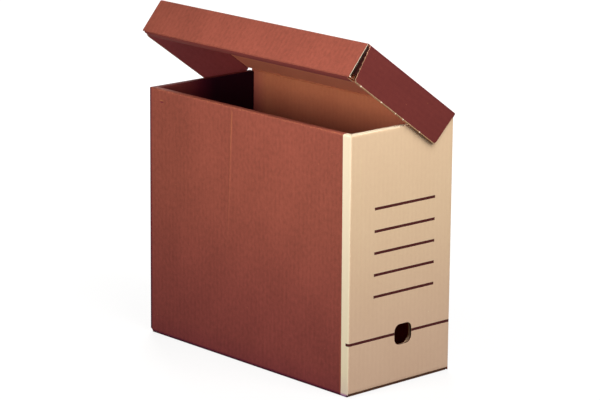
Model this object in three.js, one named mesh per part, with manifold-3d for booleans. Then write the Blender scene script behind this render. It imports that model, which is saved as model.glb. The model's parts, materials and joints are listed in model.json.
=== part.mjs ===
// Document box of corrugated board, standing with its hinged lid part open.
// Millimetres, +Z up. The origin is the centre of the base. The labelled narrow end faces -Y, the
// long red wall that is seen with it faces -X, and the lid is hinged along the long wall at +X.
// Every panel between two creases is a piece of its own.

import * as THREE from 'three';
import { mergeVertices } from 'three/addons/utils/BufferGeometryUtils.js';
import Module from 'manifold-3d';

const wasm = await Module();
wasm.setup();

// Overall sizes, outside
const boxLength = 333;
const boxWidth = 154.5;
const boxHeight = 290;

// The board and how it folds
const board = 2.8;              // one sheet of corrugated board
const layerGap = 0.3;           // air between two sheets that lie on each other
const creaseGap = 0.3;          // parting between two panels at a crease
const foldRadius = 2.2;         // outside of a fold
const tuckRadius = 1.2;         // outside of a fold that is hidden between two layers
const overrun = 5;              // how far a cutting shape runs past what it cuts
const flutePitch = 6.4;         // of the wave between the two facings
const facing = 0.4;             // sheet on each side of the wave
const medium = 0.4;             // the wave's own thickness
const glueWidth = 1;            // where a crest is glued to its facing

// Ears and lap that lie between the two layers of a wall
const rearEarReach = 146;       // from the rear end, under the rim of the near wall
const rearEarSlant = 10;        // how much shorter the ear is at its foot
const rearEarHeight = 158;
const spineEarReach = 19;       // from the near wall, under the rim of the labelled end
const spineEarHeight = 168;
const spineEarDrop = 14;        // from the rim down to the ear
const earCornerRadius = 12;
const lapWidth = 34;            // glue lap of the far wall, inside the rear end
const lapTaper = 14;

// Bottom flaps
const slotWidth = 3.5;          // from the corner of the box to the end of a long flap
const nearFlapShare = 0.6;      // share of the width that the near bottom flap covers
const seamGap = 0.6;
const endFlapDepth = 80;
const endFlapTaper = 5;
const rearRelief = 7;           // corner cut at the foot of the near wall, rear end
const frontRelief = 2.5;        // the same at the labelled end
const tongueSpread = 7;         // from the middle of the box to a locking tongue
const tongueClearance = 13.5;   // from a tongue to the end flap beside it
const tongueReach = 34;
const tongueTaper = 7;
const rampLength = 6;
const tongueRadius = 6;

// Finger hole in the labelled end
const fingerWidth = 25.9;
const fingerHeight = 23.4;
const fingerRadius = 7.5;
const fingerLevel = 57;         // from the floor to the middle of the hole
const fingerOffset = 4.8;       // from the middle of the end
const fingerMargin = 4;         // the hole in the inner layer is larger all round

// Lid
const lidClearance = 0.6;       // between the closed lid and the walls
const lidDepth = 43.5;          // of the front and the end flaps
const lidOpening = 35.2;        // degrees, as the box stands
const frontFlare = 5.6;         // degrees, lid front past square
const endSplay = 2.3;           // degrees, end flaps past square
const linerTopGap = 0.5;        // above the rolled lid front's free edge
const frontInset = 0.8;         // lid front, short of the lid at each end
const rearCutDepth = 7.3;       // relief at the crease, down to the slanted rear edge
const rearCutStart = 0.8;
const rearCutStep = 2.2;
const rearSlant = 11.5;         // end flap, how far its rear edge runs in at the foot
const rearCornerRadius = 5;
const frontCornerRadius = 7;
const earLength = 62;
const earTopGap = 0.7;
const earRootHeight = 33;
const earTipHeight = 26;
const earTipRadius = 5;

// Sizes that follow
const layerPitch = board + layerGap;
const wallDepth = board + 2 * layerPitch;
const halfLength = boxLength / 2;
const halfWidth = boxWidth / 2;
const linerFoot = 2 * layerPitch;
const rimSplit = boxHeight - layerPitch;
const hingeLevel = boxHeight + layerPitch;
const lidWidth = boxWidth + wallDepth + lidClearance;
const lidLength = boxLength + 2 * (board + lidClearance);
const halfLid = lidLength / 2;
const nearFlapDepth = boxWidth * nearFlapShare;
const farFlapDepth = boxWidth - nearFlapDepth;
const tongueWidth = halfLength - endFlapDepth - tongueClearance - tongueSpread;
const tongueOffset = tongueSpread + tongueWidth / 2;
const arcSteps = 4;
const crestSteps = 6;

// Finishes
const red = () => new THREE.MeshStandardMaterial({ color: 0x96503f, roughness: 0.8, metalness: 0 });
const deepRed = () => new THREE.MeshStandardMaterial({ color: 0x7a3a35, roughness: 0.8, metalness: 0 });
const beige = () => new THREE.MeshStandardMaterial({ color: 0xd9b98f, roughness: 0.78, metalness: 0 });
const kraft = () => new THREE.MeshStandardMaterial({ color: 0xa0744c, roughness: 0.9, metalness: 0 });

const point = (x, y, radius = 0) => Object.assign(new THREE.Vector2(x, y), { radius });
const leftOf = (v) => new THREE.Vector2(-v.y, v.x);
const heading = (from, to) => to.clone().sub(from).normalize();

// Points on the rounding of one corner, from share 0 at its start to share 1 at its end
function cornerArc(corner, before, after, shares) {
  const turn = Math.atan2(before.cross(after), before.dot(after));
  const side = Math.sign(turn);
  const normals = leftOf(before).add(leftOf(after));
  const reach = corner.radius / (1 + leftOf(before).dot(leftOf(after)));
  const centre = corner.clone().addScaledVector(normals, side * reach);
  const start = leftOf(before).multiplyScalar(-side);
  return shares.map((share) => start.clone().multiplyScalar(corner.radius)
    .rotateAround(new THREE.Vector2(), turn * share).add(centre));
}

const steps = (from, to, count) => Array.from({ length: count + 1 }, (_, i) => from + (to - from) * i / count);

// Closed outline with a rounding at each corner that has a radius
function rounded(corners) {
  return corners.flatMap((corner, i) => {
    const before = heading(corners.at(i - 1), corner);
    const after = heading(corner, corners[(i + 1) % corners.length]);
    return corner.radius > 0 ? cornerArc(corner, before, after, steps(0, 1, arcSteps)) : [corner.clone()];
  });
}

// Section of a folded sheet between two corners of its path. The path runs along the printed face,
// every fold turns left, and the board lies to the left. At a fold the panel ends in a mitre.
function sheetSection(path, first, last, thickness = board) {
  const outer = [];
  const inner = [];
  for (let k = first; k <= last; k += 1) {
    const corner = path[k];
    const before = k > 0 ? heading(path[k - 1], corner) : null;
    const after = k < path.length - 1 ? heading(corner, path[k + 1]) : null;
    if (!before || !after) {
      outer.push(corner.clone());
      inner.push(corner.clone().addScaledVector(leftOf(before ?? after), thickness));
      continue;
    }
    const normals = leftOf(before).add(leftOf(after));
    const cosine = leftOf(before).dot(leftOf(after));
    const elbow = corner.clone().addScaledVector(normals, thickness / (1 + cosine));
    if (k > first && k < last) {
      outer.push(...cornerArc(corner, before, after, steps(0, 1, arcSteps)));
      inner.push(elbow);
      continue;
    }
    const along = k === first ? after : before.clone().negate();
    const mitre = heading(corner, elbow);
    const shift = creaseGap / 2 / Math.abs(along.cross(mitre));
    const shares = k === first ? steps(1 / 2, 1, 2) : steps(0, 1 / 2, 2);
    const arc = corner.radius > 0 ? cornerArc(corner, before, after, shares) : [corner.clone()];
    const tip = k === first ? arc[0] : arc.at(-1);
    tip.addScaledVector(along, shift);
    outer.push(...arc);
    inner.push(elbow.addScaledVector(along, shift));
  }
  return [...outer, ...inner.reverse()];
}

function toSolid(geometry) {
  geometry.deleteAttribute('normal');
  geometry.deleteAttribute('uv');
  const merged = mergeVertices(geometry);
  const mesh = new wasm.Mesh({
    numProp: 3,
    vertProperties: new Float32Array(merged.attributes.position.array),
    triVerts: new Uint32Array(merged.index.array),
  });
  return new wasm.Manifold(mesh);
}

// Extrudes an outline along a named axis: along x it holds (y, z), along y (x, z), along z (x, y)
const bases = {
  x: (from) => new THREE.Matrix4().set(0, 0, 1, from, 1, 0, 0, 0, 0, 1, 0, 0, 0, 0, 0, 1),
  y: (from, to) => new THREE.Matrix4().set(1, 0, 0, 0, 0, 0, -1, to, 0, 1, 0, 0, 0, 0, 0, 1),
  z: (from) => new THREE.Matrix4().makeTranslation(0, 0, from),
};

function extrude(axis, outline, from, to, holes = []) {
  const shape = new THREE.Shape(outline);
  shape.holes = holes.map((hole) => new THREE.Path(hole));
  const geometry = new THREE.ExtrudeGeometry(shape, { depth: to - from, bevelEnabled: false });
  return toSolid(geometry.applyMatrix4(bases[axis](from, to)));
}

// Air channels of the corrugation, seen at a cut end of the flutes: a wave is glued to one facing and
// the other in turn, and leaves a channel below each crest. Depth runs through the board, from the
// printed face, and place runs across the flutes.
function channels(from, to) {
  const rise = board - 2 * facing - medium;
  const half = (flutePitch - glueWidth) / 2;
  const count = Math.floor(2 * (to - from - 2 * half) / flutePitch);
  return steps(0, count, count).map((k) => {
    const middle = from + half + k * flutePitch / 2;
    const [root, sense] = k % 2 ? [board - facing, -1] : [facing, 1];
    return steps(-1, 1, crestSteps).map((share) => ({
      depth: root + sense * rise * (1 + Math.cos(Math.PI * share)) / 2,
      place: middle + half * share,
    }));
  });
}

function piece(name, solid, material) {
  const { vertProperties, triVerts } = solid.getMesh();
  const geometry = new THREE.BufferGeometry();
  geometry.setAttribute('position', new THREE.BufferAttribute(new Float32Array(vertProperties), 3));
  geometry.setIndex(new THREE.BufferAttribute(new Uint32Array(triVerts), 1));
  geometry.computeVertexNormals();
  const mesh = new THREE.Mesh(geometry, material);
  mesh.name = name;
  return mesh;
}

// Measures inwards from a wall's outer face become places in the box
const inwards = (section, face, sense) => section.map((p) => new THREE.Vector2(face + sense * p.x, p.y));

// The blank seen from above: rear end, near wall, labelled end, far wall and glue lap
const plan = [
  point(halfWidth, halfLength),
  point(-halfWidth, halfLength, foldRadius),
  point(-halfWidth, -halfLength, foldRadius),
  point(halfWidth, -halfLength, foldRadius),
  point(halfWidth, halfLength - layerPitch, tuckRadius),
  point(halfWidth - lapWidth, halfLength - layerPitch),
];

// A wall that is rolled over its rim, in section: inner layer, rim, outer layer and bottom flap
const rolledWall = (base, flapDepth) => [
  point(wallDepth, linerFoot),
  point(wallDepth, boxHeight, foldRadius),
  point(0, boxHeight, foldRadius),
  point(0, base, foldRadius),
  point(flapDepth, base),
];

const nearSection = rolledWall(0, nearFlapDepth - seamGap / 2);
const endSection = rolledWall(layerPitch, endFlapDepth);
const farSection = [
  point(lidWidth, hingeLevel),
  point(0, hingeLevel),
  point(0, 0, foldRadius),
  point(farFlapDepth - seamGap / 2, 0),
];

const alongLength = (outline) => extrude('y', outline, -halfLength - overrun, halfLength + overrun);
const alongWidth = (outline) => extrude('x', outline, -halfWidth - overrun, halfWidth + overrun);
const upright = (outline, from = -overrun, to = hingeLevel + overrun) => extrude('z', outline, from, to);

// A corner cut off the foot of the near wall, as the slot of the blank leaves it
function footRelief(end, size) {
  const corner = end * halfLength;
  const outline = [
    point(corner + end * overrun, -overrun),
    point(corner + end * overrun, size + overrun),
    point(corner - end * (size + overrun), -overrun),
  ];
  return extrude('x', outline, -halfWidth - overrun, -halfWidth + wallDepth);
}

function nearWallOuter() {
  const section = inwards(sheetSection(nearSection, 2, 3), -halfWidth, 1);
  return alongLength(section).intersect(upright(sheetSection(plan, 1, 2)))
    .subtract(footRelief(1, rearRelief)).subtract(footRelief(-1, frontRelief));
}

function spineOuter() {
  const section = inwards(sheetSection(endSection, 2, 3), -halfLength, 1);
  return alongWidth(section).intersect(upright(sheetSection(plan, 2, 3)))
    .subtract(fingerHole(0));
}

function rearWallOuter() {
  const section = inwards(sheetSection(endSection, 2, 3), halfLength, -1);
  return alongWidth(section).intersect(upright(sheetSection(plan, 0, 1)));
}

function farWall() {
  const section = inwards(sheetSection(farSection, 1, 2), halfWidth, -1);
  return alongLength(section).intersect(upright(sheetSection(plan, 3, 4)));
}

function glueLap() {
  const right = halfWidth + overrun;
  const left = halfWidth - lapWidth;
  const outline = [
    point(right, linerFoot), point(right - overrun - foldRadius, linerFoot),
    point(left, linerFoot + lapTaper), point(left, rimSplit - lapTaper),
    point(right - overrun - foldRadius, rimSplit), point(right, rimSplit),
  ];
  return upright(sheetSection(plan, 4, 5)).intersect(alongLength(outline));
}

// Rounded square through the labelled end, larger in the inner layer
function fingerHole(margin) {
  const halfHole = fingerWidth / 2 + margin;
  const low = fingerLevel - fingerHeight / 2 - margin;
  const high = fingerLevel + fingerHeight / 2 + margin;
  const radius = fingerRadius + margin;
  const outline = rounded([
    point(fingerOffset - halfHole, low, radius), point(fingerOffset + halfHole, low, radius),
    point(fingerOffset + halfHole, high, radius), point(fingerOffset - halfHole, high, radius),
  ]);
  return extrude('y', outline, -halfLength - overrun, -halfLength + wallDepth + overrun);
}

// Rims meet in mitres at the two near corners and butt against the far wall
const rimPlan = [
  point(halfWidth - layerPitch, halfLength),
  point(-halfWidth, halfLength, foldRadius),
  point(-halfWidth, -halfLength, foldRadius),
  point(halfWidth - layerPitch, -halfLength),
];

// Inner layers seen from above, each with the ear that it turns into the next wall
const nearLinerPlan = [
  point(-halfWidth + 2 * layerPitch, halfLength - wallDepth - layerGap),
  point(-halfWidth + 2 * layerPitch, -halfLength + layerPitch, tuckRadius),
  point(-halfWidth + spineEarReach, -halfLength + layerPitch),
];
const rearLinerPlan = [
  point(halfWidth - layerPitch, halfLength - 2 * layerPitch),
  point(-halfWidth + layerPitch, halfLength - 2 * layerPitch, tuckRadius),
  point(-halfWidth + layerPitch, halfLength - rearEarReach),
];
const spineLinerPlan = [
  point(-halfWidth + wallDepth + layerGap, -halfLength + 2 * layerPitch),
  point(halfWidth - layerPitch, -halfLength + 2 * layerPitch),
];

// Rolled rim and inner layer in one: the mitred rim on top of the upright layer
function liner(sectionSolid, rimOutline, layerOutline) {
  const rim = upright(rimOutline, rimSplit, boxHeight + overrun);
  const layer = upright(layerOutline, -overrun, rimSplit);
  return sectionSolid.intersect(rim.add(layer));
}

function nearWallLiner() {
  const section = alongLength(inwards(sheetSection(nearSection, 0, 2), -halfWidth, 1));
  return liner(section, sheetSection(rimPlan, 1, 2, wallDepth), sheetSection(nearLinerPlan, 0, 1));
}

function spineLiner() {
  const section = alongWidth(inwards(sheetSection(endSection, 0, 2), -halfLength, 1));
  return liner(section, sheetSection(rimPlan, 2, 3, wallDepth), sheetSection(spineLinerPlan, 0, 1))
    .subtract(fingerHole(fingerMargin));
}

function rearWallLiner() {
  const section = alongWidth(inwards(sheetSection(endSection, 0, 2), halfLength, -1));
  return liner(section, sheetSection(rimPlan, 0, 1, wallDepth), sheetSection(rearLinerPlan, 0, 1));
}

function rearEar() {
  const tip = halfLength - rearEarReach;
  const outline = rounded([
    point(halfLength, rimSplit), point(tip, rimSplit),
    point(tip + rearEarSlant, rimSplit - rearEarHeight, earCornerRadius),
    point(halfLength, rimSplit - rearEarHeight),
  ]);
  return upright(sheetSection(rearLinerPlan, 1, 2)).intersect(alongWidth(outline));
}

function spineEar() {
  const top = rimSplit - spineEarDrop;
  const outline = [
    point(-halfWidth, top), point(-halfWidth, top - spineEarHeight),
    point(-halfWidth + spineEarReach, top - spineEarHeight + spineEarDrop),
    point(-halfWidth + spineEarReach, top - spineEarDrop),
  ];
  return upright(sheetSection(nearLinerPlan, 1, 2)).intersect(alongLength(outline));
}

// Locking tongue in plan and in section, measured from the wall that its flap hangs on. It steps up
// one board at the seam and lies on the flap of the other side.
function tongue(flapDepth, face, sense, middle) {
  const rootLine = flapDepth - seamGap - rampLength;
  const seam = flapDepth - seamGap;
  const tip = flapDepth + tongueReach;
  const section = [
    point(rootLine - overrun, 0), point(rootLine, 0), point(seam, layerPitch), point(tip, layerPitch),
    point(tip, layerPitch + board), point(seam, layerPitch + board), point(rootLine, board),
    point(rootLine - overrun, board),
  ];
  const half = tongueWidth / 2;
  const outline = rounded([
    point(rootLine - overrun, middle - half), point(seam, middle - half),
    point(tip, middle - half + tongueTaper, tongueRadius),
    point(tip, middle + half - tongueTaper, tongueRadius),
    point(seam, middle + half), point(rootLine - overrun, middle + half),
  ]);
  return alongLength(inwards(section, face, sense)).intersect(upright(inwards(outline, face, sense)));
}

function longBottomFlap(section, flapDepth, face, sense, middle) {
  const panel = extrude('y', inwards(section, face, sense), -halfLength + slotWidth, halfLength - slotWidth);
  const half = tongueWidth / 2 + creaseGap;
  const notch = [
    point(flapDepth - seamGap - rampLength, middle - half), point(flapDepth + overrun, middle - half),
    point(flapDepth + overrun, middle + half), point(flapDepth - seamGap - rampLength, middle + half),
  ];
  return panel.subtract(upright(inwards(notch, face, sense)))
    .add(tongue(flapDepth, face, sense, middle));
}

const nearBottomFlap = () => longBottomFlap(
  sheetSection(nearSection, 3, 4), nearFlapDepth, -halfWidth, 1, -tongueOffset);
const farBottomFlap = () => longBottomFlap(
  sheetSection(farSection, 2, 3), farFlapDepth, halfWidth, -1, tongueOffset);

function shortBottomFlap(end) {
  const half = halfWidth - layerPitch - layerGap;
  const section = inwards(sheetSection(endSection, 3, 4), end * halfLength, -end);
  const outline = inwards([
    point(-overrun, -half), point(layerPitch, -half), point(endFlapDepth, -half + endFlapTaper),
    point(endFlapDepth, half - endFlapTaper), point(layerPitch, half), point(-overrun, half),
  ], end * halfLength, -end).map((p) => point(p.y, p.x));
  return alongWidth(section).intersect(upright(outline));
}

// The lid is drawn shut, with the hinge line at its own origin and its front towards -X
const lidFoot = lidDepth * Math.cos(THREE.MathUtils.degToRad(frontFlare));
const lidToe = lidDepth * Math.sin(THREE.MathUtils.degToRad(frontFlare));
const lidSection = [
  point(lidWidth - wallDepth, -board - linerTopGap),
  point(lidWidth - wallDepth, -lidFoot, foldRadius),
  point(lidWidth + lidToe, -lidFoot, foldRadius),
  point(lidWidth, 0, foldRadius),
  point(0, 0),
  point(0, -hingeLevel),
];
const flapFoot = -lidDepth - flutePitch - overrun;
const lidCross = [
  point(halfLid, flapFoot),
  point(halfLid, 0, foldRadius),
  point(-halfLid, 0, foldRadius),
  point(-halfLid, flapFoot),
];
const fromHinge = (section) => inwards(section, 0, -1);
const acrossLid = (outline, holes) => extrude('x', outline, -lidWidth - overrun, overrun, holes);

function lidTop() {
  return extrude('y', fromHinge(sheetSection(lidSection, 3, 4)), -halfLid - overrun, halfLid + overrun)
    .intersect(acrossLid(sheetSection(lidCross, 1, 2)));
}

function lidFrontOuter() {
  const half = halfLid - frontInset;
  return extrude('y', fromHinge(sheetSection(lidSection, 2, 3)), -half, half);
}

function lidFrontLiner() {
  const half = halfLid - layerPitch - lidClearance;
  return extrude('y', fromHinge(sheetSection(lidSection, 0, 2)), -half, half);
}

// End flap and the ear that its front edge turns into the rolled lid front, seen from above
const endFlapPlan = [
  point(0, 0),
  point(lidWidth - layerPitch, 0, foldRadius),
  point(lidWidth - layerPitch, earLength),
];

const endFlapOutline = rounded([
  point(rearCutStart, overrun),
  point(rearCutStart, 0),
  point(rearCutStep, -rearCutDepth),
  point(rearCutStep + rearCutStart, -rearCutDepth),
  point(rearSlant, -lidDepth, rearCornerRadius),
  point(lidWidth - layerPitch, -lidDepth, frontCornerRadius),
  point(lidWidth - layerPitch, overrun),
]);

// Both are drawn from the crease of their flap, which is on the outer edge of the lid's top. The
// flutes run from the hinge to the front, and round the fold into the ear.
const fromEnd = (section, end) => section.map((p) => new THREE.Vector2(-p.x, -end * p.y));
const fluteStart = board + facing;

function lidEndFlap(end) {
  const cross = end > 0 ? sheetSection(lidCross, 0, 1) : sheetSection(lidCross, 2, 3);
  const crossAtCrease = cross.map((p) => new THREE.Vector2(p.x - end * halfLid, p.y));
  const flutes = channels(fluteStart, lidDepth + flutePitch)
    .map((hole) => hole.map(({ depth, place }) => point(-end * depth, -place)));
  return acrossLid(crossAtCrease, flutes)
    .intersect(extrude('z', fromEnd(sheetSection(endFlapPlan, 0, 1), end), flapFoot, overrun))
    .intersect(extrude('y', fromHinge(endFlapOutline), -overrun, overrun));
}

function lidEar(end) {
  const top = -board - earTopGap;
  const outline = rounded([
    point(-end * -overrun, top), point(-end * -overrun, top - earRootHeight),
    point(-end * board, top - earRootHeight),
    point(-end * earLength, top - earTipHeight, earTipRadius),
    point(-end * earLength, top, earTipRadius),
  ]);
  const front = layerPitch - lidWidth;
  const sheet = [
    point(front, -lidDepth), point(front + board, -lidDepth),
    point(front + board, 0), point(front, 0),
  ];
  const flutes = channels(fluteStart, lidDepth)
    .map((hole) => hole.map(({ depth, place }) => point(front + depth, -place)));
  return extrude('z', fromEnd(sheetSection(endFlapPlan, 1, 2), end), flapFoot, overrun)
    .intersect(acrossLid(outline))
    .intersect(extrude('y', sheet, -earLength - overrun, earLength + overrun, flutes));
}

const box = new THREE.Group();
box.add(
  piece('near_wall_outer', nearWallOuter(), red()),
  piece('near_wall_liner', nearWallLiner(), red()),
  piece('spine_outer', spineOuter(), beige()),
  piece('spine_liner', spineLiner(), beige()),
  piece('rear_wall_outer', rearWallOuter(), red()),
  piece('rear_wall_liner', rearWallLiner(), deepRed()),
  piece('far_wall', farWall(), red()),
  piece('glue_lap', glueLap(), kraft()),
  piece('rear_ear', rearEar(), kraft()),
  piece('spine_ear', spineEar(), kraft()),
  piece('near_bottom_flap', nearBottomFlap(), red()),
  piece('far_bottom_flap', farBottomFlap(), red()),
  piece('spine_bottom_flap', shortBottomFlap(-1), kraft()),
  piece('rear_bottom_flap', shortBottomFlap(1), kraft()),
);

const lid = new THREE.Group();
lid.position.set(halfWidth, 0, hingeLevel);
lid.rotation.y = THREE.MathUtils.degToRad(lidOpening);
lid.add(
  piece('lid_top', lidTop(), red()),
  piece('lid_front_outer', lidFrontOuter(), red()),
  piece('lid_front_liner', lidFrontLiner(), deepRed()),
);
for (const [end, label] of [[-1, 'spine'], [1, 'rear']]) {
  const flap = new THREE.Group();
  flap.position.y = end * halfLid;
  flap.rotation.x = end * THREE.MathUtils.degToRad(endSplay);
  flap.add(
    piece(`lid_end_flap_${label}`, lidEndFlap(end), deepRed()),
    piece(`lid_ear_${label}`, lidEar(end), deepRed()),
  );
  lid.add(flap);
}
box.add(lid);

export default box;
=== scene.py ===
import json
from math import cos, exp, pi, radians, sin, sqrt

import bmesh
import bpy
from mathutils import Matrix, Vector, noise


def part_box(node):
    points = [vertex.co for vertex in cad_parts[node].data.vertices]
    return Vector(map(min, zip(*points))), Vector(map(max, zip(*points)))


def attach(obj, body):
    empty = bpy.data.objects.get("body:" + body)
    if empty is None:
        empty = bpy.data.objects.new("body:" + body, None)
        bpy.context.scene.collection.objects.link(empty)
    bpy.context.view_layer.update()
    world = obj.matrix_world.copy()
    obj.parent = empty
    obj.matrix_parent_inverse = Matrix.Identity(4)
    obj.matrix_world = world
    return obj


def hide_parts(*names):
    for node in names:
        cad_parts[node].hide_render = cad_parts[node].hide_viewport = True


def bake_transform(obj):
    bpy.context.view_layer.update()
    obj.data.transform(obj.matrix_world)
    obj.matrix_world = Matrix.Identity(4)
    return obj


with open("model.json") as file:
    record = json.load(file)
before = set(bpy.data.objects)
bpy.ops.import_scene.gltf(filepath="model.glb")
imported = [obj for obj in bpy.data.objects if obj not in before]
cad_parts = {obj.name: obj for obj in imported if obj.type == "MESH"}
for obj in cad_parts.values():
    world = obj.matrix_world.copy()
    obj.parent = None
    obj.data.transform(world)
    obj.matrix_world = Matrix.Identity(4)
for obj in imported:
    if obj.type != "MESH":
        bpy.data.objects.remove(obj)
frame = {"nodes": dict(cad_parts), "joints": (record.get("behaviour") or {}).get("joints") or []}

scene = bpy.context.scene
scene.view_settings.view_transform = "Standard"
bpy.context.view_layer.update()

# Camera. It looks down a little on the corner between the long wall and the labelled end, from far
# enough away for the upright edges to stay nearly parallel.
camera_place = Vector((-2.0977, -2.2709, 0.9543))
camera_yaw, camera_pitch, camera_roll = radians(42.783), radians(14.126), radians(0.522)
camera_lens = 170.36

forward = Vector((sin(camera_yaw) * cos(camera_pitch), cos(camera_yaw) * cos(camera_pitch),
                  -sin(camera_pitch)))
level_right = forward.cross(Vector((0, 0, 1))).normalized()
level_up = level_right.cross(forward)
right = cos(camera_roll) * level_right + sin(camera_roll) * level_up
up = cos(camera_roll) * level_up - sin(camera_roll) * level_right
camera = bpy.data.objects.new("camera", bpy.data.cameras.new("camera"))
camera.data.lens = camera_lens
camera.matrix_world = Matrix.Translation(camera_place) @ Matrix((right, up, -forward)).transposed().to_4x4()
scene.collection.objects.link(camera)
scene.camera = camera

# The long wall beside the labelled end. One sheet of corrugated board, printed brown-red outside,
# with the flutes upright. The rear end's ear lies behind it and pushes a faint ridge into it, whose
# crest has a painted highlight. It has one small dent, painted lighter above and darker below as
# painted light and shade, painted shade towards the foot, a darker painted shadow along the foot and
# the rear fold, a painted highlight on the cream strip's foot, and a painted dark spot of shade at the
# foot of the front corner.
X, Y, Z = 0, 1, 2
PRINT, PLAIN, EDGE = 0, 1, 2
weld = 2e-6
flat_angle, smooth_angle = radians(1), radians(38)
printed_turn, plain_turn = 0.2, 0.5
flute_pitch, flute_depth = 0.0064, 0.00003
ripple_scale, ripple_share = 14, 0.5
bow_height, bow_scale, bow_reach = 0.00015, 9, 0.03
facing, lit_facing = 0.0004, 0.0007
fold_radius = 0.0022
fold_tip = fold_radius * (1 - 1 / sqrt(2))
fold_reach = 0.00035
wear_width = 0.0035
edge_step, wall_step = 0.004, 0.024

near_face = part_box("near_wall_outer")[0].x
far_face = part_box("far_wall")[1].x
rear_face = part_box("rear_wall_outer")[1].y
spine_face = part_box("spine_outer")[0].y
rim_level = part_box("near_wall_liner")[1].z
end_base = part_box("spine_outer")[0].z
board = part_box("far_wall")[1].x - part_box("far_wall")[0].x

# Where two panels meet at a fold: the axis and place of each of the two directions across it
body_folds = [
    (X, near_face + fold_tip, Y, spine_face + fold_tip),
    (X, near_face + fold_tip, Y, rear_face - fold_tip),
    (X, far_face - fold_tip, Y, spine_face + fold_tip),
    (X, near_face + fold_tip, Z, fold_tip),
    (X, far_face - fold_tip, Z, fold_tip),
    (X, near_face + fold_tip, Z, rim_level - fold_tip),
    (Y, spine_face + fold_tip, Z, rim_level - fold_tip),
    (Y, rear_face - fold_tip, Z, rim_level - fold_tip),
    (Y, spine_face + fold_tip, Z, end_base + fold_tip),
    (Y, rear_face - fold_tip, Z, end_base + fold_tip),
]


def unfolded(node, place=Matrix(), folds=body_folds):
    """A panel as a clean mesh with its faces along the axes, closed at the folds it shares."""
    shape = bmesh.new()
    shape.from_mesh(frame["nodes"][node].data)
    bmesh.ops.remove_doubles(shape, verts=shape.verts, dist=weld)
    bmesh.ops.transform(shape, matrix=place.inverted(), verts=shape.verts)
    bmesh.ops.dissolve_limit(shape, angle_limit=flat_angle, verts=shape.verts, edges=shape.edges)
    for vert in shape.verts:
        for a, place_a, b, place_b in folds:
            if abs(vert.co[a] - place_a) < fold_reach and abs(vert.co[b] - place_b) < fold_reach:
                vert.co[a], vert.co[b] = place_a, place_b
    return shape


def cut(shape, axis, places, tilt=Vector()):
    """Cuts the mesh along planes square to an axis, or tilted from it."""
    square = Vector([float(k == axis) for k in range(3)])
    for place in places:
        bmesh.ops.bisect_plane(shape, geom=shape.verts[:] + shape.edges[:] + shape.faces[:],
                               dist=weld, plane_co=square * place, plane_no=square + tilt)


def spread(shape, axis, step):
    """Places at even steps along an axis, from just inside one edge to just inside the other."""
    low = min(v.co[axis] for v in shape.verts) + edge_step
    high = max(v.co[axis] for v in shape.verts) - edge_step
    count = max(1, round((high - low) / step))
    return [low + (high - low) * k / count for k in range(count + 1)]


def around(place, step, count):
    """A place, and the places at even steps to both sides of it."""
    return [place + step * k for k in range(-count, count + 1)]


def eased(share):
    """A share between 0 and 1, with a soft start and end."""
    share = min(1.0, max(0.0, share))
    return share * share * (3 - 2 * share)


def press_flutes(shape, across, sides, seed):
    """Sinks each facing a little between the flutes, and bows it softly, as glued board dries."""
    for axis, level_of_side, inward in sides:
        on_side = [v for v in shape.verts if abs(v.co[axis] - level_of_side) < 2 * weld]
        spans = [(k, min(v.co[k] for v in on_side), max(v.co[k] for v in on_side))
                 for k in range(3) if k != axis]
        for vert in on_side:
            room = min(min(vert.co[k] - low, high - vert.co[k]) for k, low, high in spans)
            valley = (1 - cos(2 * pi * vert.co[across] / flute_pitch)) / 2
            ripple = 1 + ripple_share * noise.noise(vert.co * ripple_scale + Vector((seed, 0, 0)))
            vert.co[axis] += inward * eased(room / wear_width) * flute_depth * valley * ripple
            bow = noise.noise(vert.co * bow_scale + Vector((0, seed, 0)))
            vert.co[axis] += bow_height * eased(room / bow_reach) * bow


def lay_pattern(shape, across, worn=()):
    """Gives the mesh its pattern map, u across the flutes and v along them, and its worn folds."""
    pattern = shape.loops.layers.uv.new("board")
    wear = shape.verts.layers.float.new("wear")
    for vert in shape.verts:
        gaps = [sqrt((vert.co[a] - place_a) ** 2 + (vert.co[b] - place_b) ** 2)
                for a, place_a, b, place_b in worn]
        vert[wear] = 1 - eased(min(gaps, default=1) / wear_width)
    for face in shape.faces:
        facing_axis = max(range(3), key=lambda k: abs(face.normal[k]))
        others = [k for k in range(3) if k != facing_axis]
        u = across if across in others else others[0]
        v = next(k for k in others if k != u)
        for loop in face.loops:
            loop[pattern].uv = (loop.vert.co[u], loop.vert.co[v])


def paint_light_and_shade(shape, share_at):
    """Painted light and shade: how much lighter or darker the paper is painted at each vertex."""
    painted_light = shape.verts.layers.float.new("painted_light")
    for vert in shape.verts:
        vert[painted_light] = share_at(vert.co)


def paint(shape, printed, plain=()):
    """Print on faces turned towards a printed side, plain paper towards a plain one, or a cut edge."""
    for face in shape.faces:
        if any(face.normal.dot(side) > printed_turn for side in printed):
            face.material_index = PRINT
        elif any(face.normal.dot(side) > plain_turn for side in plain):
            face.material_index = PLAIN
        else:
            face.material_index = EDGE


def finished(name, shape, looks, body, nodes, place=Matrix()):
    """Turns a mesh into a piece of the object that stands for the named panels."""
    bmesh.ops.transform(shape, matrix=place, verts=shape.verts)
    mesh = bpy.data.meshes.new(name)
    shape.to_mesh(mesh)
    shape.free()
    mesh.shade_smooth()
    mesh.set_sharp_from_angle(angle=smooth_angle)
    for material in looks:
        mesh.materials.append(material)
    piece = bpy.data.objects.new(name, mesh)
    scene.collection.objects.link(piece)
    if body:
        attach(piece, body)
    if nodes:
        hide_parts(*nodes)
    return piece


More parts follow.
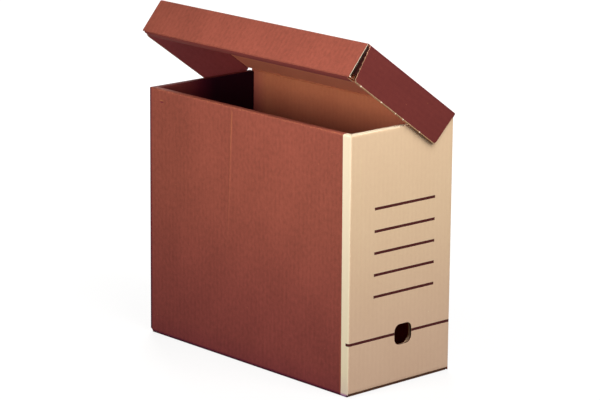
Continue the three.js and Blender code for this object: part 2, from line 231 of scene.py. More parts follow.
def open_edge(shape, edge_faces, depth, shade, lit=None):
    """A cut edge along the flutes: one open channel between the two facings, painted dark inside as
    shade. With lit, the facing on the other side is painted in that shade too, so that only the facing
    on the lit side shows light."""
    width = lit_facing if lit else facing
    rims = bmesh.ops.inset_region(shape, faces=edge_faces, thickness=width, use_even_offset=True)["faces"]
    for face in rims:
        aside = face.calc_center_median() - edge_faces[0].calc_center_median()
        face.material_index = shade if lit and aside.dot(lit) < 0 else EDGE
    walls = bmesh.ops.inset_region(shape, faces=edge_faces, depth=-depth, use_even_offset=True)["faces"]
    for face in walls + edge_faces:
        face.material_index = shade


def feed(tree, value, socket):
    """Links an output to a socket, or sets the socket to a value."""
    if isinstance(value, bpy.types.NodeSocket):
        tree.links.new(value, socket)
    else:
        socket.default_value = value


def add(tree, kind, inputs):
    """A shader node with its inputs linked or set."""
    node = tree.nodes.new(kind)
    for label, value in inputs.items():
        feed(tree, value, node.inputs[label])
    return node


def calculate(tree, operation, *values):
    """The result of a math node for the given values."""
    node = tree.nodes.new("ShaderNodeMath")
    node.operation = operation
    for value, socket in zip(values, node.inputs):
        feed(tree, value, socket)
    return node.outputs[0]


def blended(tree, share, one, other):
    """A colour between two: the first where the share is 0, and the other where it is 1."""
    node = tree.nodes.new("ShaderNodeMix")
    node.data_type = "RGBA"
    for label, value in (("Factor", share), ("A", one), ("B", other)):
        feed(tree, value, node.inputs[label])
    return node.outputs["Result"]


def painted_share(tree, name):
    """A share that the mesh holds at each vertex."""
    node = tree.nodes.new("ShaderNodeAttribute")
    node.attribute_name = name
    return node.outputs["Fac"]


def new_group(name, inputs, outputs):
    """An empty node group, with its sockets and the first value of each input."""
    group = bpy.data.node_groups.new(name, "ShaderNodeTree")
    for label, kind, value in inputs:
        socket = group.interface.new_socket(label, in_out="INPUT", socket_type=kind)
        socket.default_value = value
    for label, kind in outputs:
        group.interface.new_socket(label, in_out="OUTPUT", socket_type=kind)
    return group, group.nodes.new("NodeGroupInput").outputs, group.nodes.new("NodeGroupOutput").inputs


# Spots in the paper, counted over a metre across the flutes and along them
cloud_spots, mottle_spots = (22, 14, 1), (260, 190, 1)
streak_spots, fibre_spots = (1500, 35, 1), (1500, 1100, 1)
soft_detail, fine_detail = 2, 3
cloud_share, rough_share = 0.9, 0.25
fibre_height, streak_height = 0.6, 0.4
# How strongly the painted light and shade changes each channel of the ink
painted_light_tint = (1.0, 1.7, 0.6)


def paper_group():
    """Paper on corrugated board: fibres, soft cloud, fine streaks and a faint band over each flute."""
    group, given, out = new_group("paper on flutes", [
        ("Color", "NodeSocketColor", (0.5, 0.5, 0.5, 1)),
        ("Deep Color", "NodeSocketColor", (0.4, 0.4, 0.4, 1)),
        ("Streaks", "NodeSocketFloat", 0.3), ("Bands", "NodeSocketFloat", 0.2),
        ("Grain", "NodeSocketFloat", 0.3), ("Roughness", "NodeSocketFloat", 0.8),
    ], [("Color", "NodeSocketColor"), ("Roughness", "NodeSocketFloat"), ("Height", "NodeSocketFloat")])
    pattern = group.nodes.new("ShaderNodeUVMap")
    pattern.uv_map = "board"

    def noise_of(spots, detail=fine_detail):
        mapping = add(group, "ShaderNodeMapping", {"Scale": spots, "Vector": pattern.outputs["UV"]})
        texture = {"Scale": 1, "Detail": detail, "Vector": mapping.outputs["Vector"]}
        return add(group, "ShaderNodeTexNoise", texture).outputs["Fac"]

    def swung(texture, share, middle):
        return calculate(group, "MULTIPLY_ADD", calculate(group, "SUBTRACT", texture, 0.5), share, middle)

    cloud = noise_of(cloud_spots, soft_detail)
    mottle, streaks, fibres = noise_of(mottle_spots), noise_of(streak_spots), noise_of(fibre_spots)
    flutes = add(group, "ShaderNodeSeparateXYZ", {"Vector": pattern.outputs["UV"]}).outputs["X"]
    band = calculate(group, "COSINE", calculate(group, "MULTIPLY", flutes, 2 * pi / flute_pitch))

    mixed = swung(cloud, cloud_share, 0.5)
    mixed = swung(mottle, given["Grain"], mixed)
    mixed = swung(fibres, given["Grain"], mixed)
    mixed = swung(streaks, given["Streaks"], mixed)
    mixed = calculate(group, "MULTIPLY_ADD", band, given["Bands"], mixed)
    share = add(group, "ShaderNodeClamp", {"Value": mixed}).outputs[0]
    ink = blended(group, share, given["Deep Color"], given["Color"])

    # The painted light and shade that the mesh holds makes the ink lighter or darker
    painted_light = calculate(group, "ADD", painted_share(group, "painted_light"), 1)
    channels = {label: calculate(group, "POWER", painted_light, power) for label, power in zip("XYZ", painted_light_tint)}
    lightened = group.nodes.new("ShaderNodeVectorMath")
    lightened.operation = "MULTIPLY"
    feed(group, ink, lightened.inputs[0])
    feed(group, add(group, "ShaderNodeCombineXYZ", channels).outputs[0], lightened.inputs[1])
    feed(group, lightened.outputs[0], out["Color"])
    feed(group, swung(mottle, rough_share, given["Roughness"]), out["Roughness"])
    streak_relief = calculate(group, "MULTIPLY", streaks, streak_height)
    feed(group, calculate(group, "MULTIPLY_ADD", fibres, fibre_height, streak_relief), out["Height"])
    return group


fleck_scale = 900
wear_threshold = -0.2
crack_start, crack_end = 0.62, 0.74
chip_scale, chip_rim, chip_core, chip_share = 50, 0.030, 0.015, 0.7


def wear_group():
    """Ink cracked off a fold, where the kraft shows in broken flecks, and a few tiny chips elsewhere."""
    group, given, out = new_group("worn folds", [
        ("Color", "NodeSocketColor", (0.5, 0.5, 0.5, 1)),
        ("Bare Color", "NodeSocketColor", (0.5, 0.4, 0.3, 1)),
        ("Amount", "NodeSocketFloat", 0.5),
    ], [("Color", "NodeSocketColor")])
    where = group.nodes.new("ShaderNodeTexCoord").outputs["Object"]
    flecks = add(group, "ShaderNodeTexNoise", {"Scale": fleck_scale, "Detail": fine_detail, "Vector": where})
    wear = calculate(group, "MULTIPLY_ADD", painted_share(group, "wear"), given["Amount"], wear_threshold)
    cracks = add(group, "ShaderNodeMapRange", {
        "From Min": crack_start, "From Max": crack_end,
        "Value": calculate(group, "ADD", wear, flecks.outputs["Fac"]),
    })
    spots = add(group, "ShaderNodeTexVoronoi", {"Scale": chip_scale, "Vector": where})
    chips = add(group, "ShaderNodeMapRange", {
        "From Min": chip_rim, "From Max": chip_core, "To Max": chip_share, "Value": spots.outputs["Distance"],
    })
    bare = calculate(group, "MAXIMUM", cracks.outputs["Result"], chips.outputs["Result"])
    feed(group, blended(group, bare, given["Color"], given["Bare Color"]), out["Color"])
    return group


paper = paper_group()
worn_folds = wear_group()

# Each ink is a pair of colours, for the light spots of the paper and for the deep ones
red_ink = (0.372, 0.094, 0.060), (0.250, 0.063, 0.040)
kraft_tan = (0.600, 0.200, 0.092), (0.480, 0.145, 0.068)
edge_tan = (0.78, 0.50, 0.29), (0.44, 0.25, 0.13)
line_ink = (0.095, 0.018, 0.017), (0.070, 0.013, 0.012)
flute_dark = (0.050, 0.026, 0.016), (0.030, 0.016, 0.010)
cream_ink = (0.965, 0.820, 0.590), (0.930, 0.770, 0.535)
board_shine = 0.1
relief_depth = 0.0002


def board_material(name, ink, streaks, bands, grain, roughness, wear=0.0, bare=kraft_tan, bump=0.25):
    """Printed or bare board, with the paper's own look and the wear of its folds."""
    material = bpy.data.materials.new(name)
    material.use_nodes = True
    tree = material.node_tree
    shader = tree.nodes["Principled BSDF"]
    shader.inputs["Specular IOR Level"].default_value = board_shine
    look = tree.nodes.new("ShaderNodeGroup")
    look.node_tree = paper
    for label, value in (("Color", (*ink[0], 1)), ("Deep Color", (*ink[1], 1)), ("Streaks", streaks),
                         ("Bands", bands), ("Grain", grain), ("Roughness", roughness)):
        look.inputs[label].default_value = value
    color = look.outputs["Color"]
    if wear:
        folds = tree.nodes.new("ShaderNodeGroup")
        folds.node_tree = worn_folds
        for label, value in (("Color", color), ("Bare Color", (*bare[0], 1)), ("Amount", wear)):
            feed(tree, value, folds.inputs[label])
        color = folds.outputs["Color"]
    feed(tree, color, shader.inputs["Base Color"])
    feed(tree, look.outputs["Roughness"], shader.inputs["Roughness"])
    relief = {"Strength": bump, "Distance": relief_depth, "Height": look.outputs["Height"]}
    feed(tree, add(tree, "ShaderNodeBump", relief).outputs["Normal"], shader.inputs["Normal"])
    return material


red_print = board_material("brown-red print", red_ink, streaks=0.7, bands=0.07, grain=1.5, roughness=0.78,
                           wear=0.30)
kraft = board_material("bare kraft", kraft_tan, streaks=0.4, bands=0.05, grain=0.7, roughness=0.88)
cut_edge = board_material("cut board edge", edge_tan, streaks=0.2, bands=0.0, grain=1.4, roughness=0.9,
                          bump=0.6)
line_print = board_material("maroon line print", line_ink, streaks=0.4, bands=0.0, grain=0.3, roughness=0.7)
# Painted shade: a dark look for open flutes and hollows that the light hardly reaches
flute_shade = board_material("painted shade inside a flute", flute_dark, streaks=0.4, bands=0.0, grain=0.6,
                             roughness=0.95)

# A cream strip wraps round the corner from the labelled end onto this wall, and its edge runs in a
# little towards the foot. The end's long line goes on round the corner over part of it.
cream_print = board_material("cream strip", cream_ink, streaks=0.35, bands=0.03, grain=0.4, roughness=0.74)
# The cream strip is painted lighter towards its foot, a painted highlight
strip_top, strip_foot, strip_foot_highlight = 0.0128, 0.0112, 0.035
line_width, line_lean = 0.0031, 0.008
long_line_level, long_line_reach = 0.0588, 0.0048

ridge_width, ridge_cuts = 0.0011, 6
ridge_start, ridge_fade = 0.01, 0.05
# The ridge's crest is painted lighter, a painted highlight, weaker low down
ridge_rise, ridge_highlight, low_ridge_share = 0.0006, 0.3, 0.25
rear_ear_lean, rear_ear_shift = 0.007, 0.0035
# Walls are painted darker towards their foot, a painted shade, from this height down
shade_top, wall_foot_shade = 0.21, 0.2
# The long wall's foot and rear fold are painted darker still, a painted shadow
foot_shadow, foot_height = 0.85, 0.0058
dent_place, dent_level, dent_cuts = 0.1445, 0.2765, 5
# The dent is painted lighter above its middle and darker below, a painted highlight and shade
dent_width, dent_height, dent_depth, dent_light_and_shade = 0.0024, 0.0010, 0.0008, 1.6
shaded_corner = 0.0028


def raise_ridge(shape, axis, outward, across, ear, place, rise, light, lean=0.0):
    """The edge of an ear behind the sheet lifts a ridge. Gives back the painted highlight on its crest."""
    ear_foot, ear_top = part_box(ear)[0].z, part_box(ear)[1].z
    slant = lean / (ear_top - ear_foot)
    top_place = place + slant * ear_top
    cut(shape, across, around(top_place, ridge_width / 3, ridge_cuts), Vector((0, 0, slant)))

    def ridge_at(at):
        aside = at[across] + slant * at.z - top_place
        fade = eased((at.z - ear_foot + ridge_start) / ridge_fade) * eased((ear_top - at.z) / wear_width)
        return fade * exp(-(aside / ridge_width) ** 2)

    def highlight_at(at):
        height = eased((at.z - shade_top) / (ear_top - shade_top))
        return light * ridge_at(at) * (low_ridge_share + (1 - low_ridge_share) * height)

    for vert in shape.verts:
        vert.co[axis] += outward * rise * ridge_at(vert.co)
    return highlight_at


def lowness(at):
    """How low a point is, for painted shade: 1 at the foot of a wall, and 0 from the shade's top upwards."""
    return eased((shade_top - at.z) / shade_top)


def dent_at(at):
    """How deep in the dent a point is, and how far above its middle."""
    above = (at.z - dent_level) / dent_height
    return exp(-((at.y - dent_place) / dent_width) ** 2 - above ** 2), above


near_wall = unfolded("near_wall_outer")
cut(near_wall, Z, [edge_step, rim_level - edge_step] + spread(near_wall, Z, wall_step))
cut(near_wall, Y, [spine_face + edge_step, rear_face - edge_step, rear_face - edge_step / 2])
cut(near_wall, Y, spread(near_wall, Y, flute_pitch / 4))
strip_slope = (strip_top - strip_foot) / rim_level
cut(near_wall, Y, [spine_face + strip_foot], Vector((0, 0, -strip_slope)))
wrapped_level = long_line_level - line_lean * near_face
cut(near_wall, Z, [wrapped_level - line_width / 2, wrapped_level + line_width / 2])
cut(near_wall, Y, [spine_face + long_line_reach])
cut(near_wall, Z, [shaded_corner, shaded_corner / 2] + around(dent_level, dent_height / 2, dent_cuts))
cut(near_wall, Y, [spine_face + shaded_corner] + around(dent_place, dent_width / 2, dent_cuts))
press_flutes(near_wall, Y, [(X, near_face, 1), (X, near_face + board, -1)], seed=1.3)
rear_ridge_highlight = raise_ridge(near_wall, X, -1, Y, "rear_ear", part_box("rear_ear")[0].y + rear_ear_shift,
                           ridge_rise, ridge_highlight, rear_ear_lean)


# Painted light and shade on the long wall
def near_wall_light_and_shade(at):
    press, above = dent_at(at)
    low = strip_foot_highlight if at.y < spine_face + strip_top else -wall_foot_shade
    edge_shadow = foot_shadow * eased(1 - min(at.z, rear_face - at.y) / foot_height)
    return rear_ridge_highlight(at) + low * lowness(at) - edge_shadow + dent_light_and_shade * above * press


paint_light_and_shade(near_wall, near_wall_light_and_shade)
for vert in near_wall.verts:
    vert.co.x += dent_depth * dent_at(vert.co)[0]
near_wall.normal_update()
lay_pattern(near_wall, Y, body_folds)
paint(near_wall, [Vector((-1, 0, 0))], [Vector((1, 0, 0))])
wall_looks = [red_print, kraft, cut_edge, cream_print, line_print, flute_shade]
for face in near_wall.faces:
    centre = face.calc_center_median()
    if face.material_index == PRINT and centre.y < spine_face + strip_foot + strip_slope * centre.z:
        on_line = centre.y < spine_face + long_line_reach and abs(centre.z - wrapped_level) < line_width / 2
        face.material_index = wall_looks.index(line_print if on_line else cream_print)
        # A painted dark spot of shade at the foot of the front corner
        if centre.z < shaded_corner and centre.y < spine_face + shaded_corner:
            face.material_index = wall_looks.index(flute_shade)
finished("near_wall", near_wall, wall_looks, "box", ["near_wall_outer"])

# The inner layer of the long wall. The sheet goes over the rim and hangs down inside, so its print
# shows on the rim and inside the box.
rim_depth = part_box("near_wall_liner")[1].x - near_face
rim_clean = 0.0006
seed_spread = 100


def inner_layer(name, node, across, inside, outer_face, looks, cream_end=None, share_at=None):
    """A rolled inner layer, from the wall's outer face. Up to cream_end in Y its rim is cream."""
    axis = X if inside.x else Y
    sense = inside[axis]
    inner_face = outer_face + sense * rim_depth
    shape = unfolded(node)
    cut(shape, Z, [rim_level - edge_step - board] + spread(shape, Z, wall_step))
    cut(shape, across, spread(shape, across, flute_pitch / 4))
    if cream_end:
        cut(shape, Y, [cream_end])
    sides = [(Z, rim_level, -1), (axis, inner_face, -sense), (axis, inner_face - sense * board, sense)]
    press_flutes(shape, across, sides, seed=outer_face * seed_spread)
    shape.normal_update()
    if share_at:
        cut(shape, Z, [rim_level - rim_clean])
        paint_light_and_shade(shape, share_at)
    lay_pattern(shape, across, body_folds + [(axis, inner_face, Z, rim_level)])
    paint(shape, [inside, Vector((0, 0, 1))], [-inside])
    if cream_end:
        for face in shape.faces:
            centre = face.calc_center_median()
            on_rim = centre.z > rim_level - board and face.material_index == PRINT
            if on_rim and centre.y < cream_end:
                face.material_index = looks.index(cream_print)
    finished(name, shape, looks, "box", [node])


red_layers = [red_print, kraft, cut_edge]
inner_layer("near_inner_layer", "near_wall_liner", Y, Vector((1, 0, 0)), near_face,
            red_layers + [cream_print], spine_face + strip_top)

# The labelled end. Beige print outside, five writing lines, one line right across that also goes
# round the corner, and a finger hole through both layers. The lines sit a little askew.
beige_ink = (0.885, 0.640, 0.410), (0.830, 0.580, 0.365)
beige_print = board_material("beige print", beige_ink, streaks=0.8, bands=0.10, grain=1.0, roughness=0.74,
                             wear=0.22, bare=cream_ink)
line_start, line_end = 0.0363, 0.1278
line_left, line_right = near_face + line_start, near_face + line_end
line_levels = (0.2043, 0.1793, 0.1549, 0.1306, 0.1062)
hole_depth, hole_reach, hole_turn = 0.0015, 0.04, 0.1
spine_ear_shift = 0.004
# The ridge on this end is faint, with a faint painted highlight on its crest
faint_rise, faint_highlight = 0.0002, 0.02
end_foot_shade = 0.07

spine = unfolded("spine_outer")
line_edges = [z + side * line_width / 2 for z in (*line_levels, long_line_level) for side in (-1, 1)]
cut(spine, Z, spread(spine, Z, wall_step))
cut(spine, Z, line_edges, Vector((line_lean, 0, 0)))
cut(spine, X, spread(spine, X, flute_pitch / 4) + [line_left, line_right])
press_flutes(spine, X, [(Y, spine_face, 1), (Y, spine_face + board, -1)], seed=4.1)
spine_ridge_highlight = raise_ridge(spine, Y, -1, X, "spine_ear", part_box("spine_ear")[1].x - spine_ear_shift,
                            faint_rise, faint_highlight)
# A faint painted highlight on the ridge, and painted shade towards the foot
paint_light_and_shade(spine, lambda at: spine_ridge_highlight(at) - end_foot_shade * lowness(at))
spine.normal_update()
lay_pattern(spine, X, body_folds)
paint(spine, [Vector((0, -1, 0))], [Vector((0, 1, 0))])
end_looks = [beige_print, kraft, cut_edge, line_print, flute_shade]
hole_wall = []
for face in spine.faces:
    centre = face.calc_center_median()
    level = centre.z + line_lean * centre.x
    on_long_line = abs(level - long_line_level) < line_width / 2
    on_short_line = line_left < centre.x < line_right and any(
        abs(level - z) < line_width / 2 for z in line_levels)
    if face.material_index == PRINT and (on_short_line or on_long_line):
        face.material_index = end_looks.index(line_print)
    in_hole = abs(centre.x) < hole_reach and end_base + edge_step < centre.z < rim_level / 2
    if face.material_index == EDGE and abs(face.normal.y) < hole_turn and in_hole:
        hole_wall.append(face)
# The hole's wall is painted dark, a painted shade
open_edge(spine, hole_wall, hole_depth, end_looks.index(flute_shade))
finished("labelled_end", spine, end_looks, "box", ["spine_outer"])
inner_layer("labelled_end_inner_layer", "spine_liner", X, Vector((0, 1, 0)), spine_face,
            [beige_print, kraft, cut_edge, cream_print], spine_face + rim_depth)

# The rear end, made as the labelled one, without a hole and without lines. Inside it has the red
# print in a darker copy, a painted shade, and a painted shadow darkens it away from the long wall. Its
# cut edge at the far corner runs along a flute and shows the open channel, painted dark inside as shade.
# A darker copy of the red print, a painted shade, for the inside of the rear end and the lid's end flaps
shaded_red_ink = (0.190, 0.037, 0.031), (0.148, 0.027, 0.024)
shaded_red_print = board_material("red print in painted shade", shaded_red_ink, streaks=0.9, bands=0.06, grain=1.2,
                              roughness=0.78, wear=0.22)
channel_depth = 0.003
square_turn = 0.99
deep_shadow, deep_shadow_start, deep_fall = 0.9, 0.035, 0.06

rear = unfolded("rear_wall_outer")
cut(rear, Z, spread(rear, Z, wall_step))
cut(rear, X, spread(rear, X, flute_pitch / 4))
press_flutes(rear, X, [(Y, rear_face, -1), (Y, rear_face - board, 1)], seed=7.7)
rear.normal_update()
lay_pattern(rear, X, body_folds)
paint(rear, [Vector((0, 1, 0))], [Vector((0, -1, 0))])


def end_faces(shape, axis, side):
    """The faces at one end of the mesh along an axis, square to it."""
    end_place = max(side * v.co[axis] for v in shape.verts)
    return [f for f in shape.faces if side * f.normal[axis] > square_turn
            and end_place - side * f.calc_center_median()[axis] < weld]


rear_looks = red_layers + [flute_shade]
open_edge(rear, end_faces(rear, X, 1), channel_depth, rear_looks.index(flute_shade))
finished("rear_end", rear, rear_looks, "box", ["rear_wall_outer"])


# A painted shadow, darker away from the long wall, below the rim
def deep_shadow_at(at):
    if at.z >= rim_level - weld:
        return 0
    return -deep_shadow * eased((at.x - near_face - deep_shadow_start) / deep_fall)


inner_layer("rear_end_inner_layer", "rear_wall_liner", X, Vector((0, -1, 0)), rear_face,
            [shaded_red_print, kraft, cut_edge], share_at=deep_shadow_at)

# The far long wall is a single layer. Its inside is the bare kraft of the sheet, with painted shade
# low down, in the rear corner and by the lid's end flap, and its top edge is the crease that the lid
# turns on.
low_inside_shade, inside_fall = 0.15, 0.05
corner_shade, corner_fall = 0.30, 0.035
flap_shade, flap_shade_fall = 0.24, 0.12

far = unfolded("far_wall")
cut(far, Z, spread(far, Z, wall_step))
cut(far, Y, spread(far, Y, flute_pitch / 4))
press_flutes(far, Y, [(X, far_face, -1), (X, far_face - board, 1)], seed=2.9)
far.normal_update()


# Painted shade low down, in the rear corner and by the lid's end flap
def painted_inside_shade(at):
    if at.x >= far_face - board / 2:
        return 0
    low = low_inside_shade * eased((rim_level - at.z) / inside_fall)
    in_corner = corner_shade * eased(1 - (rear_face - at.y) / corner_fall)
    by_flap = flap_shade * eased(1 - (at.y - spine_face) / flap_shade_fall)
    return -low - in_corner - by_flap


paint_light_and_shade(far, painted_inside_shade)
lay_pattern(far, Y, body_folds)
paint(far, [Vector((1, 0, 0))], [Vector((-1, 0, 0))])
finished("far_wall_sheet", far, red_layers, "box", ["far_wall"])

# Panels that only show at their edges: the ears and the glue lap between the layers, and the short
# bottom flaps that lie under the papers. They are bare kraft.
all_sides = [Vector([sign * (k == axis) for k in range(3)]) for axis in (X, Y, Z) for sign in (1, -1)]
for hidden in ("glue_lap", "rear_ear", "spine_ear", "spine_bottom_flap", "rear_bottom_flap"):
    shape = unfolded(hidden)
    shape.normal_update()
    lay_pattern(shape, X)
    paint(shape, [], all_sides)
    finished(hidden + "_sheet", shape, [kraft, kraft, cut_edge], "box", [hidden])

# The two long bottom flaps, with a tongue each that lies on the other flap. Their flutes run across
# the box, and their cut edges are painted dark, a painted shade under the walls.
# A darker look for the bottom flaps' cut edges: a painted shade
shaded_edge_tan = (0.280, 0.135, 0.085), (0.160, 0.074, 0.048)
shaded_edge = board_material("board edge in painted shade", shaded_edge_tan, streaks=0.2, bands=0.0, grain=1.2,
                             roughness=0.95)
for node in ("near_bottom_flap", "far_bottom_flap"):
    shape = unfolded(node)
    cut(shape, Y, spread(shape, Y, flute_pitch / 4))
    cut(shape, X, spread(shape, X, wall_step))
    press_flutes(shape, Y, [(Z, board, -1)], seed=5.5)
    shape.normal_update()
    lay_pattern(shape, Y, body_folds)
    paint(shape, [Vector((0, 0, -1))], [Vector((0, 0, 1))])
    finished(node + "_sheet", shape, [red_print, kraft, shaded_edge], "box", [node])

# The lid's roof and front, measured as they lie when it is shut. The roof is hinged on the far wall,
# and its front is rolled over. The front's cut sides show the open flutes between the facings, painted
# dark inside as shade, with a torn tuft at each lower corner. The roof's underside is kraft painted
# lighter, a painted light, and the roll's print is a darker copy of the red print, a painted shade.
hinge = Vector(frame["joints"][0]["pos_m"])
lid_opening = radians(35.2)
half_lid = abs(frame["joints"][1]["pos_m"][1])
lid_place = Matrix.Translation(hinge) @ Matrix.Rotation(lid_opening, 4, "Y")
lid_front = min((lid_place.inverted() @ v.co).x for v in frame["nodes"]["lid_top"].data.vertices)
front_flare, front_depth = radians(5.6), 0.0452
front_place = lid_place @ Matrix.Translation((lid_front, 0, 0)) @ Matrix.Rotation(front_flare, 4, "Y")
lid_folds = [
    (X, lid_front, Z, -fold_tip),
    (Y, half_lid - fold_tip, Z, -fold_tip),
    (Y, -half_lid + fold_tip, Z, -fold_tip),
]
front_folds = [(X, 0, Z, 0), (X, 0, Z, -front_depth)]
roll_folds = [(X, lid_front - front_depth * sin(front_flare), Z, -front_depth * cos(front_flare))]
up_side, front_side = Vector((0, 0, 1)), Vector((-1, 0, 0))
corner_tuft = 0.0009
tuft_share, tuft_scale, tuft_shift = 0.5, 900, 300

torn_white = (0.95, 0.80, 0.62), (0.75, 0.58, 0.42)
torn_paper = board_material("torn paper", torn_white, streaks=0.2, bands=0.0, grain=1.0, roughness=0.9)
# Kraft painted lighter for the roof's underside, a painted light
lit_kraft_tan = (0.760, 0.250, 0.140), (0.640, 0.195, 0.110)
lit_kraft = board_material("kraft painted lighter", lit_kraft_tan, streaks=0.4, bands=0.12, grain=0.7, roughness=0.88)
# A darker copy of the red print for the roll, a painted shade
shaded_roll_ink = (0.230, 0.048, 0.038), (0.180, 0.036, 0.031)
shaded_roll_print = board_material("roll print in painted shade", shaded_roll_ink, streaks=0.9, bands=0.06, grain=1.2, roughness=0.78,
                            wear=0.22)


def tuft(shape, place, radius, look):
    """A tuft of torn paper."""
    ball = bmesh.ops.create_icosphere(shape, subdivisions=1, radius=radius)["verts"]
    for vert in ball:
        vert.co *= 1 + tuft_share * noise.noise(vert.co * tuft_scale + Vector(place) * tuft_shift)
    bmesh.ops.translate(shape, verts=ball, vec=place)
    for face in {f for v in ball for f in v.link_faces}:
        face.material_index = look


def lid_sheet(name, node, sides, printed, plain, place, looks, worn, folds=(), along=Z, lit=None):
    """A panel of the lid. One that stands upright shows its open flutes at both ends, and the last of
    its looks is painted inside them, in place of their shade."""
    shape = unfolded(node, place, folds)
    cut(shape, Y, spread(shape, Y, flute_pitch / 4))
    cut(shape, along, spread(shape, along, wall_step))
    levels = [(axis, (max if top else min)(v.co[axis] for v in shape.verts), -1 if top else 1)
              for axis, top in sides]
    press_flutes(shape, Y, levels, seed=len(name))
    shape.normal_update()
    lay_pattern(shape, Y, worn)
    paint(shape, printed, plain)
    for side in (-1, 1) if along == Z else ():
        end_place = max(side * v.co.y for v in shape.verts)
        open_edge(shape, end_faces(shape, Y, side), channel_depth, len(looks) - 1, lit)
        if lit:
            foot = min(v.co.z for v in shape.verts)
            tuft(shape, (corner_tuft, side * end_place, foot + corner_tuft), corner_tuft, EDGE)
    finished(name, shape, looks, "lid", [node], place)


lid_sheet("lid_roof", "lid_top", [(Z, True), (Z, False)], [up_side], [-up_side], lid_place,
          [red_print, lit_kraft, cut_edge], lid_folds, folds=lid_folds, along=X)
lid_sheet("lid_front", "lid_front_outer", [(X, False), (X, True)], [front_side], [-front_side], front_place,
          [red_print, kraft, torn_paper, flute_shade], front_folds, lit=front_side)
lid_sheet("lid_front_roll", "lid_front_liner", [(X, True)], [-front_side, -up_side], [front_side, up_side],
          lid_place, [shaded_roll_print, kraft, cut_edge, kraft], roll_folds)

# The crease of the lid. The outer facing of the far wall runs on into the roof without a cut, and
# bends when the lid moves.
crease_reach, crease_lift, crease_paper = 0.004, 0.00003, 0.00012
crease_shares = (1, 0.7, 0.4, 0.2, 0.08)
crease_steps = 60
crease_half = rear_face - fold_radius
wall_line, wall_out = Vector((0, 0, -1)), Vector((1, 0, 0))
roof_line, roof_out = lid_place.to_3x3() @ Vector((-1, 0, 0)), lid_place.to_3x3() @ Vector((0, 0, 1))
crease_rows = [(hinge + wall_line * crease_reach * share, wall_out) for share in crease_shares]
crease_rows.append((hinge, (wall_out + roof_out).normalized()))
crease_rows += [(hinge + roof_line * crease_reach * share, roof_out) for share in reversed(crease_shares)]
crease_end = Vector((0, crease_half, 0))

crease = bmesh.new()
across_crease = [crease.verts.new(at + out * crease_lift - crease_end) for at, out in crease_rows]
for one, other in zip(across_crease, across_crease[1:]):
    crease.edges.new((one, other))
bmesh.ops.spin(crease, geom=crease.verts[:] + crease.edges[:], cent=(0, 0, 0), axis=(0, 1, 0),
               dvec=2 * crease_end / crease_steps, angle=0, steps=crease_steps, use_duplicate=False)
crease.normal_update()
if crease.faces[:][0].normal.x > 0:
    bmesh.ops.reverse_faces(crease, faces=crease.faces)
bmesh.ops.solidify(crease, geom=crease.faces[:], thickness=crease_paper)
crease.normal_update()
lay_pattern(crease, Y, [(X, hinge.x, Z, hinge.z)])
crease_strip = finished("lid_crease", crease, [red_print], None, [])
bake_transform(crease_strip)

# The lid's end flaps hang a little outwards, with their ears tucked into its rolled front. The knife
# has left a bare rim along a flap's lower edge, with tufts of torn paper at the nicks that held the
# sheet. The ink has cracked off its front fold, and its top fold has painted shade. The flaps wear the
# red print in painted shade, their insides a lighter copy of it, a painted light, and the ears' print
# inside the pocket is painted near black, a painted shade.
end_splay = radians(2.3)
crease_play = 0.00006
flap_depth, bare_rim = 0.0435, 0.0006
# The top fold of a flap is painted darker, a painted shade
fold_shade, fold_shade_depth = 0.5, 0.0032
fold_turns = -0.95, -0.4
inside_turn = 0.9
nick_places = (-0.1484, -0.1116, -0.0854, -0.0713, -0.0404)
nick_radius = 0.0010
flap_folds = [(a, place_a, b, place_b - crease_play) for a, place_a, b, place_b in lid_folds[1:]]

# The ear's print inside the pocket is painted near black, a painted shade
pocket_shade_ink = (0.060, 0.013, 0.011), (0.045, 0.010, 0.008)
pocket_shade = board_material("painted shade inside the pocket", pocket_shade_ink, streaks=0.4, bands=0.04, grain=0.7,
                              roughness=0.85)
# A lighter copy of the flap's print for its inside, a painted light
lit_lining_ink = (0.360, 0.080, 0.084), (0.285, 0.062, 0.064)
lit_flap_lining = board_material("flap lining painted lighter", lit_lining_ink, streaks=0.9, bands=0.06, grain=1.2, roughness=0.78)
cracked_tan = (0.95, 0.56, 0.34), (0.72, 0.38, 0.22)
cracked_fold = board_material("cracked fold", cracked_tan, streaks=0.2, bands=0.0, grain=1.0, roughness=0.9)
flap_looks = [shaded_red_print, kraft, cut_edge, torn_paper, lit_flap_lining, cracked_fold]
ear_looks = [pocket_shade, kraft, cut_edge, torn_paper, lit_flap_lining, cracked_fold]


def dress_flap(flap, end):
    """The top fold of an end flap in painted shade, its cracked front fold, its bare rim and its lining
    painted lighter, a painted light.
    """
    cut(flap, Z, [bare_rim - flap_depth, -fold_shade_depth, -fold_shade_depth / 2])
    cut(flap, X, spread(flap, X, flute_pitch / 2))
    paint_light_and_shade(flap, lambda at: -fold_shade * eased(1 + at.z / fold_shade_depth))
    paint(flap, [Vector((0, end, 0)), Vector((0, -end, 0))])
    for face in flap.faces:
        turn = face.normal.y * end
        if fold_turns[0] < face.normal.x < fold_turns[1] and turn > printed_turn:
            face.material_index = flap_looks.index(cracked_fold)
        elif face.calc_center_median().z < bare_rim - flap_depth and turn > -printed_turn:
            face.material_index = EDGE
        elif turn < -inside_turn:
            face.material_index = flap_looks.index(lit_flap_lining)


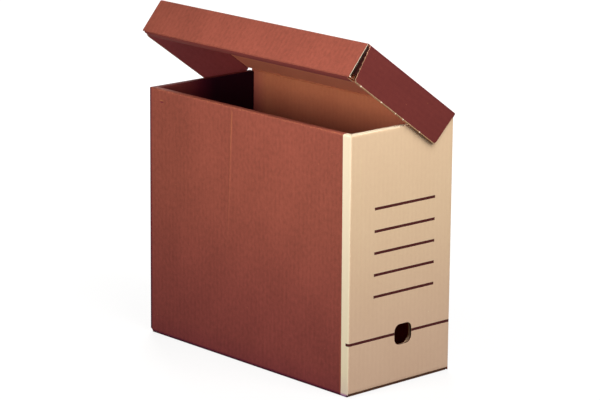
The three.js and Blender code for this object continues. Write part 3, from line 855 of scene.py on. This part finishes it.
for end, label, body in ((-1, "spine", "lid_end_spine"), (1, "rear", "lid_end_rear")):
    end_crease = Matrix.Translation((0, end * half_lid, 0))
    flap_place = lid_place @ end_crease @ Matrix.Rotation(end * end_splay, 4, "X") @ end_crease.inverted()
    flap, ear = [unfolded(node + label, flap_place, flap_folds) for node in ("lid_end_flap_", "lid_ear_")]
    for shape in (flap, ear):
        shape.normal_update()
        lay_pattern(shape, Z, lid_folds)
    dress_flap(flap, end)
    for place in nick_places if label == "spine" else ():
        tuft(flap, (place, end * half_lid, -flap_depth), nick_radius, flap_looks.index(torn_paper))
    finished(f"lid_end_{label}", flap, flap_looks, body, [f"lid_end_flap_{label}"], flap_place)
    paint(ear, [front_side, -front_side])
    finished(f"lid_tucked_ear_{label}", ear, ear_looks, body, [f"lid_ear_{label}"], flap_place)

# Floor. A pale sweep that the box stands on and throws its shadow on. To the camera and in
# reflections it also glows, softly near the box and fully white further out.
floor_size = 6.0
floor_color, floor_roughness = (0.13, 0.127, 0.123, 1), 0.9
white = (1, 1, 1, 1)
glow_start, glow_end, glow_near, glow_far = 0.25, 1.3, 0.83, 1.0


def seen(tree):
    """1 for what the camera or a reflection looks at, and 0 for the light that falls on things."""
    path = tree.nodes.new("ShaderNodeLightPath").outputs
    return calculate(tree, "MAXIMUM", path["Is Camera Ray"], path["Is Glossy Ray"])


floor_mesh = bpy.data.meshes.new("floor")
floor_shape = bmesh.new()
bmesh.ops.create_grid(floor_shape, x_segments=2, y_segments=2, size=floor_size)
floor_shape.to_mesh(floor_mesh)
floor_shape.free()
floor = bpy.data.objects.new("floor", floor_mesh)
scene.collection.objects.link(floor)
floor_material = bpy.data.materials.new("pale floor")
floor_material.use_nodes = True
tree = floor_material.node_tree
distance = tree.nodes.new("ShaderNodeVectorMath")
distance.operation = "LENGTH"
feed(tree, tree.nodes.new("ShaderNodeTexCoord").outputs["Object"], distance.inputs[0])
whiteness = add(tree, "ShaderNodeMapRange", {
    "From Min": glow_start, "From Max": glow_end, "To Min": glow_near, "To Max": glow_far,
    "Value": distance.outputs["Value"],
})
glow = calculate(tree, "MULTIPLY", seen(tree), whiteness.outputs["Result"])
for label, value in (("Base Color", floor_color), ("Roughness", floor_roughness),
                     ("Emission Color", white), ("Emission Strength", glow)):
    feed(tree, value, tree.nodes["Principled BSDF"].inputs[label])
floor_mesh.materials.append(floor_material)

# World. The white surround of a photo studio, as the camera and reflections see it. It lights the box
# only faintly, so that the lamps shape it.
world_light = 0.07
world = bpy.data.worlds.new("studio")
world.use_nodes = True
scene.world = world
tree = world.node_tree
strength = add(tree, "ShaderNodeMapRange", {"To Min": world_light, "To Max": 1.0, "Value": seen(tree)})
feed(tree, white, tree.nodes["Background"].inputs["Color"])
feed(tree, strength.outputs["Result"], tree.nodes["Background"].inputs["Strength"])


# Lamps. Three soft boxes: a small one close to the long wall, a large one in front and above, and a
# large one behind and above.
def soft_lamp(name, place, target, size, power):
    """A square area lamp that is turned to its target."""
    lamp = bpy.data.objects.new(name, bpy.data.lights.new(name, "AREA"))
    lamp.data.size = size
    lamp.data.energy = power
    lamp.location = place
    lamp.rotation_mode = "QUATERNION"
    lamp.rotation_quaternion = (Vector(target) - Vector(place)).to_track_quat("-Z", "Y")
    scene.collection.objects.link(lamp)


soft_lamp("side_lamp", (-0.56, -0.05, 0.40), (0, -0.05, 0.22), size=0.16, power=2.2)
soft_lamp("high_lamp", (-0.12, -0.85, 0.95), (0, 0, 0.2), size=0.9, power=13)
soft_lamp("back_lamp", (0.9, 1.2, 1.1), (0, 0, 0.15), size=0.8, power=16)

bpy.context.view_layer.update()
